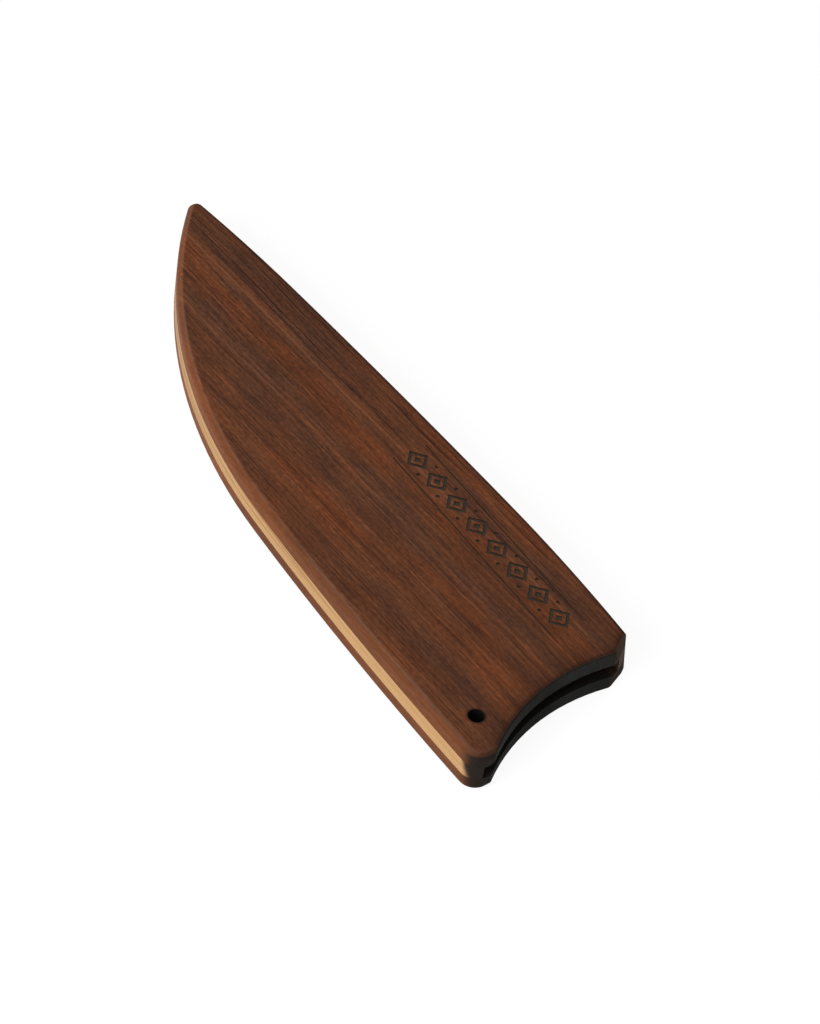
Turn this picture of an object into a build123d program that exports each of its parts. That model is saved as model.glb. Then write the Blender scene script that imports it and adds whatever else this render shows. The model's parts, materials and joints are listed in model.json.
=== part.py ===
from build123d import *
from build123d.topology import SkipClean
import os
from math import sqrt

# A wooden guard for a wide chef's knife, in millimetres. Three boards are glued in a stack: a dark panel,
# a pale frame that leaves room for the blade, and a second dark panel. Disc magnets in the panels hold the blade.
# X runs from the tip to the mouth, Y from the cutting edge to the spine, and Z up from the back panel.

# Boards
overall_length = 219.9
overall_width = 67.6
panel_thickness = 4.9
core_thickness = 4.6
overall_thickness = 2 * panel_thickness + core_thickness
rim_round = 2.3
runs_per_arc = 6

# Blunt tip, whose corners are a little rounder than the rim so that the rim can follow them
tip_corner_spare = 0.1
tip_blunt_share = 1.5
tip_corner_radius = rim_round + tip_corner_spare
tip_blunt_width = tip_blunt_share * tip_corner_radius

# Outline points, as shares of the overall length and width, from the tip's end and the cutting edge's heel
edge_belly_shares = (0.5172, 0.0933)
edge_heel_shares = (0.7611, 0.0288)
edge_run_out_shares = (1.0557, -0.0015)
spine_tip_shares = (0, 0.9575)
spine_front_shares = (0.2106, 0.994)
spine_crest_shares = (0.446, 1)
spine_rear_shares = (0.6819, 0.994)
spine_run_out_shares = (1.0557, 0.893)

# Mouth: a lobe at the cutting edge, a round hollow for the knife's bolster and a clipped corner at the spine
lobe_radius = 5
hollow_radius = 63.5
hollow_middle_height = 43
clip_height = 56.6
clip_angle = 69
clip_corner_radius = 3
mouth_edge_break = 0.4
mouth_edge_angle = 45

# Sanded trim of the clipped corner through all three boards, which takes more from the front panel
trim_height = 55.7
trim_angle = 57.5
trim_lean = 9.5

# Rails of the frame, which leave the blade slot between them
edge_rail_width = 3.6
spine_rail_width = 4.5
slot_tip_radius = 1.5

# Peg hole through both panels and the slot
peg_hole_radius = 2.25
peg_hole_mouth_inset = 12.3
peg_hole_edge_inset = 9.4

# Disc magnets in pairs, one of each pair in either panel, flush with its inner face
magnet_radius = 5
magnet_thickness = 2
magnet_edge_round = 0.3
magnet_glue_gap = 0.1
magnet_length_shares = {"tip": 0.33, "middle": 0.57, "heel": 0.81}
magnet_width_shares = {"tip": 0.68, "middle": 0.62, "heel": 0.6}

cut_overrun = 20

up = Vector(0, 0, 1)


def outline_point(shares):
    """Returns an outline point from its shares of the overall length and width."""
    return Vector(shares[0] * overall_length, shares[1] * overall_width)


def arc_through(*points):
    """Returns the arc through three outline points that are given as shares."""
    return ThreePointArc(*[outline_point(shares) for shares in points])


def parallel_arc(arc, distance):
    """Returns the arc that runs beside another one, to the right of its direction at a distance."""
    place_shares = (0, 0.5, 1)
    return ThreePointArc(*[arc @ share + (arc % share).cross(up) * distance for share in place_shares])


def edge_arcs():
    """Returns the cutting edge's two tangent arcs, from past the mouth to the tip."""
    tip = outline_point(spine_tip_shares) - Vector(0, tip_blunt_width)
    heel = arc_through(edge_run_out_shares, edge_heel_shares, edge_belly_shares)
    belly = TangentArc(heel @ 1, tip, tangent=heel % 1)
    return [heel, belly]


def spine_arcs():
    """Returns the spine's three tangent arcs, from the tip to past the mouth."""
    middle = arc_through(spine_front_shares, spine_crest_shares, spine_rear_shares)
    drop = TangentArc(middle @ 0, outline_point(spine_tip_shares), tangent=-(middle % 0))
    front = ThreePointArc(drop @ 1, drop @ 0.5, drop @ 0)
    rear = TangentArc(middle @ 1, outline_point(spine_run_out_shares), tangent=middle % 1)
    return [front, middle, rear]


def short_runs(arcs):
    """Returns a row of arcs cut into shorter ones, so that each face of the rounded rim is short and even."""
    ends = [step / runs_per_arc for step in range(runs_per_arc + 1)]
    spans = list(zip(ends, ends[1:]))
    return [ThreePointArc(arc @ a, arc @ ((a + b) / 2), arc @ b) for arc in arcs for a, b in spans]


def face_between(first_row, second_row):
    """Returns the face that two rows of lines bound, each row joined to the other by a straight line."""
    first_end = Line(first_row[-1] @ 1, second_row[0] @ 0)
    second_end = Line(second_row[-1] @ 1, first_row[0] @ 0)
    return make_face([*first_row, first_end, *second_row, second_end])


def blank_face():
    """Returns the outline before the mouth is cut, with the tip and the lobe rounded.

    Past the lobe it runs on as a rounded step out beyond the mouth, so that the rim can be rounded over the lobe.
    """
    outline = face_between(short_runs(edge_arcs()), short_runs(spine_arcs()))
    step_align = (Align.MIN, Align.MAX)
    step = Pos(overall_length, hollow_middle_height) * Rectangle(cut_overrun, overall_width, align=step_align)
    blank = outline - step
    blank = fillet(blank.vertices().sort_by(Axis.X)[:2], tip_corner_radius)
    return fillet(lobe_end_line(blank).vertices(), lobe_radius)


def lobe_end_line(blank):
    """Returns the straight line across the guard that the lobe runs out into."""
    return blank.edges().filter_by(Axis.Y).sort_by_distance((overall_length, 0))[0]


def lobe_start():
    """Returns the point of the lobe that lies nearest the mouth's end of the guard."""
    return lobe_end_line(blank_face()).vertices().sort_by(Axis.Y)[0].center()


def lobe_middle():
    """Returns the middle of the lobe."""
    return lobe_start() - Vector(lobe_radius, 0)


def hollow_middle():
    """Returns the middle of the hollow, which touches the lobe."""
    middles_apart = hollow_radius + lobe_radius
    rise = hollow_middle_height - lobe_middle().Y
    return Vector(lobe_middle().X + sqrt(middles_apart**2 - rise**2), hollow_middle_height)


def hollow_point(height):
    """Returns the point of the hollow at a height over the cutting edge."""
    rise = height - hollow_middle_height
    return Vector(hollow_middle().X - sqrt(hollow_radius**2 - rise**2), height)


def mouth_cutter():
    """Returns the face that the mouth takes away, past the lobe, the hollow and the clipped corner."""
    lobe_end = lobe_middle() + (hollow_middle() - lobe_middle()).normalized() * lobe_radius
    clip_start = hollow_point(clip_height)
    past_mouth = overall_length + cut_overrun
    lobe = TangentArc(lobe_start(), lobe_end, tangent=(0, 1))
    hollow = RadiusArc(lobe_end, clip_start, hollow_radius)
    clip = PolarLine(clip_start, overall_width, 180 - clip_angle)
    outside = Polyline(clip @ 1, (past_mouth, (clip @ 1).Y), (past_mouth, lobe_start().Y), lobe_start())
    cutter = make_face([lobe, hollow, clip, outside])
    return fillet(cutter.vertices().sort_by_distance(clip_start)[0], clip_corner_radius)


def trim_solid():
    """Returns the block that the sanded trim takes away, over the back panel's outer face."""
    along = Vector(1, 0).rotate(Axis.Z, 180 - trim_angle)
    start = hollow_point(trim_height) + up * overall_thickness
    outward = along.rotate(Axis.Z, -90).rotate(Axis(start, -along), trim_lean)
    block = Box(overall_width, overall_width, cut_overrun, align=(Align.CENTER, Align.CENTER, Align.MIN))
    return Plane(start, x_dir=along, z_dir=outward) * block


def slot_face():
    """Returns the blade slot's outline, from its point near the tip out through the mouth."""
    edge_wall = [parallel_arc(arc, edge_rail_width) for arc in edge_arcs()]
    spine_wall = [parallel_arc(arc, spine_rail_width) for arc in spine_arcs()]
    past_mouth = overall_length + cut_overrun
    above_edge_wall = face_between(edge_wall, [Line((0, overall_width), (past_mouth, overall_width))])
    below_spine_wall = face_between([Line((past_mouth, 0), (0, 0))], spine_wall)
    slot = above_edge_wall & below_spine_wall
    return fillet(slot.vertices().sort_by(Axis.X)[0], slot_tip_radius)


def standing_cylinder(radius, height):
    """Returns a cylinder that stands on its place."""
    return Cylinder(radius, height, align=(Align.CENTER, Align.CENTER, Align.MIN))


def magnet_place(name):
    """Returns the place of a magnet on a panel's inner face."""
    return Pos(magnet_length_shares[name] * overall_length, magnet_width_shares[name] * overall_width)


def magnet():
    """Returns one disc magnet with rounded edges, lying on the level of the panel's inner face."""
    disc = standing_cylinder(magnet_radius, magnet_thickness)
    return fillet(disc.edges().filter_by(GeomType.CIRCLE), magnet_edge_round)


def panel():
    """Returns one panel on its inner face, with a rounded rim, a broken mouth edge, its hole and its pockets."""
    blank = extrude(blank_face(), panel_thickness, dir=up, clean=False)
    board = fillet(blank.faces().sort_by(Axis.Z)[-1].edges(), rim_round)
    board -= extrude(mouth_cutter(), panel_thickness, dir=up)
    edge_break_place = Pos(0, 0, panel_thickness - mouth_edge_break)
    board -= edge_break_place * extrude(mouth_cutter(), mouth_edge_break, dir=up, taper=-mouth_edge_angle)
    peg_hole_place = Pos(overall_length - peg_hole_mouth_inset, peg_hole_edge_inset)
    board -= peg_hole_place * standing_cylinder(peg_hole_radius, panel_thickness)
    for name in magnet_length_shares:
        board -= magnet_place(name) * standing_cylinder(magnet_radius + magnet_glue_gap, magnet_thickness)
    return board


def outline_face():
    """Returns the guard's outline with its mouth, before the trim."""
    return blank_face() - mouth_cutter()


def core_frame(slot):
    """Returns the frame between the panels, with a rail along the edge and one along the spine."""
    return extrude(outline_face() - slot, core_thickness, dir=up, clean=False)


def build_nodes():
    """Returns every piece in its place, by name, with the boards' outline centred on the origin.

    The boards are made without merging faces, which keeps the short runs of their outline apart.
    """
    front_place = Pos(0, 0, panel_thickness + core_thickness)
    back_place = Pos(0, 0, panel_thickness)
    slot = slot_face()
    with SkipClean():
        half = panel()
        boards = {
            "front_panel": front_place * half,
            "core_frame": back_place * core_frame(slot),
            "back_panel": back_place * mirror(half, Plane.XY),
        }
        nodes = {name: board - trim_solid() for name, board in boards.items()}
    for name in magnet_length_shares:
        disc = magnet_place(name) * magnet()
        nodes[f"front_magnet_{name}"] = front_place * disc
        nodes[f"back_magnet_{name}"] = back_place * mirror(disc, Plane.XY)
    middle = outline_face().bounding_box().center()
    return {name: Pos(-middle.X, -middle.Y) * piece for name, piece in nodes.items()}


os.makedirs("parts", exist_ok=True)
for node, piece in build_nodes().items():
    export_step(piece, f"parts/{node}.step")
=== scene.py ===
"""Dresses a wooden knife blade guard: two dark boards, a pale board between them, and disc magnets inside.

Lengths are in metres in the part's own frame. X runs from the tip to the mouth, Y from the cutting edge to
the spine, and Z up from the back board. Finishes work in millimetres, because grain and char are that small.
"""

import json
import logging
import math
from dataclasses import dataclass, field
from enum import Enum, IntEnum
from typing import Any, Mapping, Optional, Sequence, Union

import bmesh
import bpy
from mathutils import Matrix, Vector


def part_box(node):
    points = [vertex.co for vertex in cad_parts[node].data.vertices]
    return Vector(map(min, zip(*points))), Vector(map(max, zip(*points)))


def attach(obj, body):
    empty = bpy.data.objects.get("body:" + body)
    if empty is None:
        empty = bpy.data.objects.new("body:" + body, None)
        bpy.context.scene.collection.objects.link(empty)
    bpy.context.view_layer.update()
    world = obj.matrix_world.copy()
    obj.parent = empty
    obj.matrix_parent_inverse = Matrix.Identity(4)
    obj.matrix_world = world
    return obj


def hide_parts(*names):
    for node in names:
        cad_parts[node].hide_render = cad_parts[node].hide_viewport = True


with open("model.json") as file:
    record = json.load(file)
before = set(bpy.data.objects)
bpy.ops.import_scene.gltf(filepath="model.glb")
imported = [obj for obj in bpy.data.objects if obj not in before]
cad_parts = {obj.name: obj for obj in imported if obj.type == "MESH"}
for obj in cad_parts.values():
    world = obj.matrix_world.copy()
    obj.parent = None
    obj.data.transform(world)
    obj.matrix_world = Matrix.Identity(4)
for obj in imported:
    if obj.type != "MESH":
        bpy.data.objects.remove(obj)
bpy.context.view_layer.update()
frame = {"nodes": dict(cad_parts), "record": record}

MM = 0.001
ROOT_BODY = "root"
FIELD_MEAN = 0.5

Colour = tuple[float, float, float]
Place = tuple[float, float]
Step = tuple[float, float]
Value = Union["Wire", float]
Tint = Union["Wire", Colour]

WHITE: Colour = (1.0, 1.0, 1.0)

log = logging.getLogger("guard")


class MixSocket(IntEnum):
    """Sockets of a Mix node that is set to colours."""

    FACTOR = 0
    FIRST = 6
    SECOND = 7
    RESULT = 2


class Blend(Enum):
    """Ways to lay one colour on another."""

    MIX = "MIX"
    MULTIPLY = "MULTIPLY"


class WoodSlot(Enum):
    """The record's material slots that new pieces stand for."""

    DARK = "dark_wood"


class BoardNode(Enum):
    """The three boards of the stack, by node."""

    FRONT = "front_panel"
    CORE = "core_frame"
    BACK = "back_panel"


class Wire:
    """An output socket in a shader tree. Python arithmetic on it adds Math nodes."""

    def __init__(self, recipe: "Recipe", socket: bpy.types.NodeSocket) -> None:
        """Wraps an output socket of a recipe's tree."""
        self.recipe = recipe
        self.socket = socket

    def math(self, operation: str, *values: Value) -> "Wire":
        """Adds a Math node for an operation on numbers and wires, and returns its result."""
        node = self.recipe.add("ShaderNodeMath", {"operation": operation}, dict(enumerate(values)))
        return Wire(self.recipe, node.outputs[0])

    def __add__(self, other: Value) -> "Wire":
        """Returns the sum."""
        return self.math("ADD", self, other)

    def __radd__(self, other: Value) -> "Wire":
        """Returns the sum with a number on the left."""
        return self.math("ADD", other, self)

    def __sub__(self, other: Value) -> "Wire":
        """Returns the difference."""
        return self.math("SUBTRACT", self, other)

    def __rsub__(self, other: Value) -> "Wire":
        """Returns the difference with a number on the left."""
        return self.math("SUBTRACT", other, self)

    def __mul__(self, other: Value) -> "Wire":
        """Returns the product."""
        return self.math("MULTIPLY", self, other)

    def __rmul__(self, other: Value) -> "Wire":
        """Returns the product with a number on the left."""
        return self.math("MULTIPLY", other, self)

    def __truediv__(self, other: Value) -> "Wire":
        """Returns the quotient."""
        return self.math("DIVIDE", self, other)

    def least(self, other: Value) -> "Wire":
        """Returns the smaller of the two values."""
        return self.math("MINIMUM", self, other)

    def most(self, other: Value) -> "Wire":
        """Returns the larger of the two values."""
        return self.math("MAXIMUM", self, other)

    def size(self) -> "Wire":
        """Returns the value without its sign."""
        return self.math("ABSOLUTE", self)

    def root(self) -> "Wire":
        """Returns the square root."""
        return self.math("SQRT", self)

    def above(self, limit: float) -> "Wire":
        """Returns 1 where the value is over a limit, and 0 elsewhere."""
        return self.math("GREATER_THAN", self, limit)

    def rise(self, start: float, end: float) -> "Wire":
        """Makes a soft step.

        Args:
            start: The value at which the step is 0.
            end: The value at which it is 1. Where this is the lower one, the step falls as the value grows.

        Returns:
            The step, from 0 to 1.
        """
        falls = end < start
        sockets = {
            "Value": self,
            "From Min": min(start, end),
            "From Max": max(start, end),
            "To Min": float(falls),
            "To Max": float(not falls),
        }
        node = self.recipe.add("ShaderNodeMapRange", {"interpolation_type": "SMOOTHSTEP"}, sockets)
        return Wire(self.recipe, node.outputs[0])


@dataclass(frozen=True)
class Grain:
    """An uneven field, made of cells that may be long one way.

    Attributes:
        cells: A cell's length along X, Y and Z, in millimetres.
        seed: A shift in cells that sets this field apart from others.
        detail: How many finer fields are laid over the first.
        rough: How strong the finer ones are, from 0 to 1.
    """

    cells: tuple[float, float, float]
    seed: float = 0.0
    detail: float = 2.0
    rough: float = 0.5


@dataclass(frozen=True)
class Lines:
    """Unevenly spaced lines.

    Attributes:
        pitch: The usual distance between two lines, in millimetres.
        seed: A shift in pitches that sets these lines apart from others.
        detail: How many finer fields are laid over the first.
        rough: How strong the finer ones are, from 0 to 1.
    """

    pitch: float
    seed: float = 0.0
    detail: float = 2.0
    rough: float = 0.5


@dataclass(frozen=True)
class Stripe:
    """A stripe with soft sides that runs along the board.

    Attributes:
        first_side: The step up across the stripe's first side, in millimetres.
        second_side: The step down across its second side, in millimetres.
        strength: Its height between the sides.
    """

    first_side: Step
    second_side: Step
    strength: float

    def at(self, across: Wire) -> Wire:
        """Returns the stripe's height at a distance across the board."""
        return across.rise(*self.first_side) * across.rise(*self.second_side) * self.strength


class Recipe:
    """The shader tree of one material or world."""

    def __init__(self, owner: Union[bpy.types.Material, bpy.types.World]) -> None:
        """Empties the owner's tree.

        Args:
            owner: The material or world that the tree belongs to.
        """
        owner.use_nodes = True
        self.tree = owner.node_tree
        self.tree.nodes.clear()

    def add(
        self,
        kind: str,
        settings: Optional[Mapping[str, Any]] = None,
        sockets: Optional[Mapping[Union[str, int], Any]] = None,
    ) -> bpy.types.Node:
        """Adds any node.

        Args:
            kind: The node's type.
            settings: Its settings, which are set first. A ramp's stops are pairs of place and colour.
            sockets: Its inputs by name or number, as plain values or wires.

        Returns:
            The node.
        """
        node = self.tree.nodes.new(kind)
        for name, setting in (settings or {}).items():
            if name == "stops":
                self.set_stops(node, setting)
            else:
                setattr(node, name, setting)
        for name, value in (sockets or {}).items():
            socket = node.inputs[name]
            if isinstance(value, Wire):
                self.tree.links.new(value.socket, socket)
            elif socket.type == "RGBA":
                socket.default_value = (*value, 1.0)
            else:
                socket.default_value = value
        return node

    def set_stops(self, node: bpy.types.Node, stops: Sequence[tuple[float, Colour]]) -> None:
        """Gives a ramp its stops.

        Args:
            node: The ramp.
            stops: Pairs of place and colour, in order.
        """
        elements = node.color_ramp.elements
        while len(elements) < len(stops):
            elements.new(1.0)
        for element, (place, colour) in zip(elements, stops):
            element.position = place
            element.color = (*colour, 1.0)

    def place(self) -> Wire:
        """Finds the place of each point of the surface.

        Returns:
            The place in the part's frame, in millimetres.
        """
        source = Wire(self, self.add("ShaderNodeTexCoord").outputs["Object"])
        scaled = self.add("ShaderNodeVectorMath", {"operation": "SCALE"}, {"Vector": source, "Scale": 1 / MM})
        return Wire(self, scaled.outputs["Vector"])

    def facing(self) -> tuple[Wire, Wire, Wire]:
        """Returns how far the surface faces along X, Y and Z, each from -1 to 1."""
        return self.split(Wire(self, self.add("ShaderNodeTexCoord").outputs["Normal"]))

    def split(self, vector: Wire) -> tuple[Wire, Wire, Wire]:
        """Returns a vector's three values."""
        outputs = self.add("ShaderNodeSeparateXYZ", sockets={"Vector": vector}).outputs
        return Wire(self, outputs[0]), Wire(self, outputs[1]), Wire(self, outputs[2])

    def noise(self, place: Wire, grain: Grain, seed: float) -> Wire:
        """Makes an uneven field.

        Args:
            place: The place in the part's frame, in millimetres.
            grain: The field's cells.
            seed: A further shift, which makes each board's field its own.

        Returns:
            The field, around its mean.
        """
        scale = tuple(1 / cell for cell in grain.cells)
        shift = (seed + grain.seed,) * 3
        settings = {"operation": "MULTIPLY_ADD"}
        shifted = self.add("ShaderNodeVectorMath", settings, {0: place, 1: scale, 2: shift})
        sockets = {
            "Vector": Wire(self, shifted.outputs[0]),
            "Scale": 1.0,
            "Detail": grain.detail,
            "Roughness": grain.rough,
        }
        return Wire(self, self.add("ShaderNodeTexNoise", {"noise_dimensions": "3D"}, sockets).outputs[0])

    def lines(self, across: Wire, lines: Lines, seed: float) -> Wire:
        """Makes unevenly spaced lines.

        Args:
            across: The distance across the lines, in millimetres.
            lines: How they are spaced.
            seed: A further shift, which makes each board's lines its own.

        Returns:
            The field, around its mean.
        """
        sockets = {
            "W": across / lines.pitch + (seed + lines.seed),
            "Scale": 1.0,
            "Detail": lines.detail,
            "Roughness": lines.rough,
        }
        return Wire(self, self.add("ShaderNodeTexNoise", {"noise_dimensions": "1D"}, sockets).outputs[0])

    def ramp(self, value: Wire, stops: Sequence[tuple[float, Colour]]) -> Wire:
        """Returns the colour that a ramp gives a value."""
        return Wire(self, self.add("ShaderNodeValToRGB", {"stops": stops}, {0: value}).outputs[0])

    def mix(self, first: Tint, second: Tint, factor: Value, blend: Blend = Blend.MIX) -> Wire:
        """Mixes two colours.

        Args:
            first: The colour at factor 0.
            second: The colour at factor 1.
            factor: How much of the second is laid on.
            blend: The way of blending.

        Returns:
            The mixed colour.
        """
        settings = {"data_type": "RGBA", "blend_type": blend.value}
        sockets = {MixSocket.FACTOR: factor, MixSocket.FIRST: first, MixSocket.SECOND: second}
        return Wire(self, self.add("ShaderNodeMix", settings, sockets).outputs[MixSocket.RESULT])

    def stain(self, colour: Tint, stain: Colour, factor: Value) -> Wire:
        """Returns a colour multiplied by a stain, as far as a factor says."""
        return self.mix(colour, stain, factor, Blend.MULTIPLY)

    def bump(self, height: Wire, depth: float) -> Wire:
        """Returns a normal that follows a height field, whose full height is a depth in millimetres."""
        sockets = {"Height": height, "Strength": 1.0, "Distance": depth * MM}
        return Wire(self, self.add("ShaderNodeBump", sockets=sockets).outputs[0])

    def surface(self, shader: bpy.types.Node) -> None:
        """Makes a shader node the surface of the material or world.

        Args:
            shader: The node, which is a Background in a world's tree alone.
        """
        kind = "ShaderNodeOutputMaterial"
        if shader.bl_idname == "ShaderNodeBackground":
            kind = "ShaderNodeOutputWorld"
        self.add(kind, sockets={"Surface": Wire(self, shader.outputs[0])})


class Finish:
    """A finish of a surface."""

    def make(self, name: str, seed: float = 0.0) -> bpy.types.Material:
        """Makes the finish's material.

        Args:
            name: The material's name.
            seed: A shift that makes one piece's grain its own.

        Returns:
            The material.
        """
        material = bpy.data.materials.new(name)
        recipe = Recipe(material)
        recipe.surface(recipe.add("ShaderNodeBsdfPrincipled", sockets=self.sockets(recipe, seed)))
        return material

    def sockets(self, recipe: Recipe, seed: float) -> dict[str, Any]:
        """Returns a plain value or a wire for each named socket of the shader."""
        raise NotImplementedError


@dataclass(frozen=True)
class MouthOutline:
    """The mouth's lobe, hollow and clipped corner, in millimetres.

    The heights are measured from the cutting edge's lowest point, and the outline follows from them as it
    does on the boards.

    Attributes:
        lobe_wrap: How far the char runs on past the lobe's middle.
        beside_lobe_slope: How much deeper a place counts for each millimetre that it lies beside the lobe.
        trim_lean: How far the sanded trim leans out for each millimetre under the top.
    """

    lobe_radius: float = 5.0
    lobe_height: float = 5.0
    lobe_wrap: float = 1.2
    beside_lobe_slope: float = 5.0
    hollow_radius: float = 63.5
    hollow_height: float = 42.9
    clip_height: float = 56.5
    clip_heading: float = math.radians(111)
    trim_height: float = 55.6
    trim_heading: float = math.radians(122.5)
    trim_lean: float = math.tan(math.radians(9.5))
    top_level: float = 14.4

    def lobe_middle(self) -> Place:
        """Returns the middle of the lobe, which touches the part's far end."""
        low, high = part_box(BoardNode.BACK.value)
        return high.x / MM - self.lobe_radius, low.y / MM + self.lobe_height

    def hollow_middle(self) -> Place:
        """Finds the middle of the hollow, which touches the lobe.

        Returns:
            The middle, along and across the guard.
        """
        lobe_x, lobe_y = self.lobe_middle()
        rise = self.hollow_height - self.lobe_height
        return lobe_x + math.sqrt((self.hollow_radius + self.lobe_radius) ** 2 - rise**2), lobe_y + rise

    def hollow_point(self, height: float) -> Place:
        """Finds a point of the hollow.

        Args:
            height: The point's height.

        Returns:
            The point, along and across the guard.
        """
        hollow_x, hollow_y = self.hollow_middle()
        rise = height - self.hollow_height
        return hollow_x - math.sqrt(self.hollow_radius**2 - rise**2), hollow_y + rise

    def behind_line(self, x: Wire, y: Wire, height: float, heading: float) -> Wire:
        """Returns how far a place lies behind a straight cut that starts on the hollow at a height."""
        start_x, start_y = self.hollow_point(height)
        return (start_x - x) * math.sin(heading) + (y - start_y) * math.cos(heading)

    def depth(self, x: Wire, y: Wire, z: Wire, lobe_spare: Value) -> Wire:
        """Measures how deep in the wood a place lies behind the mouth's wall.

        Args:
            x: The place along the guard, in millimetres.
            y: The place across the guard, in millimetres.
            z: The place's height over the back board's outer face, in millimetres.
            lobe_spare: How much farther round the lobe the wall starts, in millimetres.

        Returns:
            The depth in millimetres, 0 on the wall.
        """
        lobe_middle = self.lobe_middle()
        hollow = distance(x, y, self.hollow_middle()) - self.hollow_radius
        beside_lobe = (0.0 - self.past_lobe(x, y)).most(0.0) * self.beside_lobe_slope
        lobe = self.lobe_radius - distance(x, y, lobe_middle) + beside_lobe
        front_of_lobe = lobe.most(lobe_middle[0] + self.lobe_wrap - x + lobe_spare)
        clip = self.behind_line(x, y, self.clip_height, self.clip_heading)
        trim = self.behind_line(x, y, self.trim_height, self.trim_heading)
        trim = trim + (self.top_level - z) * self.trim_lean
        return hollow.least(front_of_lobe).least(clip).least(trim)

    def past_lobe(self, x: Wire, y: Wire) -> Wire:
        """Measures how far a place lies past the hollow, on the lobe's side.

        Args:
            x: The place along the guard, in millimetres.
            y: The place across the guard, in millimetres.

        Returns:
            The distance in millimetres, 0 on the line through the two middles.
        """
        lobe_x, lobe_y = self.lobe_middle()
        hollow_x, hollow_y = self.hollow_middle()
        apart = self.hollow_radius + self.lobe_radius
        return (x - lobe_x) * ((hollow_y - lobe_y) / apart) - (y - lobe_y) * ((hollow_x - lobe_x) / apart)

    def past_clip(self, y: Wire) -> Wire:
        """Returns how far a place lies on the spine's side of the clipped corner's start, in millimetres."""
        return y - self.hollow_point(self.trim_height)[1]


@dataclass(frozen=True)
class PegHole:
    """The small round hole, as the record's mount gives it."""

    mount: str = "peg_hole"

    def depth(self, x: Wire, y: Wire) -> Wire:
        """Measures how deep in the wood a place lies behind the hole's wall.

        Args:
            x: The place along the guard, in millimetres.
            y: The place across the guard, in millimetres.

        Returns:
            The depth in millimetres, 0 on the wall.
        """
        mount = next(entry for entry in frame["record"]["mounts"] if entry["name"] == self.mount)
        middle = (mount["pos_m"][0] / MM, mount["pos_m"][1] / MM)
        return distance(x, y, middle) - mount["dims"]["r_mm"]


def distance(first: Wire, second: Wire, middle: Place) -> Wire:
    """Measures the distance of a place from a fixed point, both given by two of their values.

    Args:
        first: The place's first value.
        second: Its second value.
        middle: The two values of the fixed point.

    Returns:
        The distance, in the values' own unit.
    """
    across = first - middle[0]
    along = second - middle[1]
    return (across * across + along * along).root()


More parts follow.
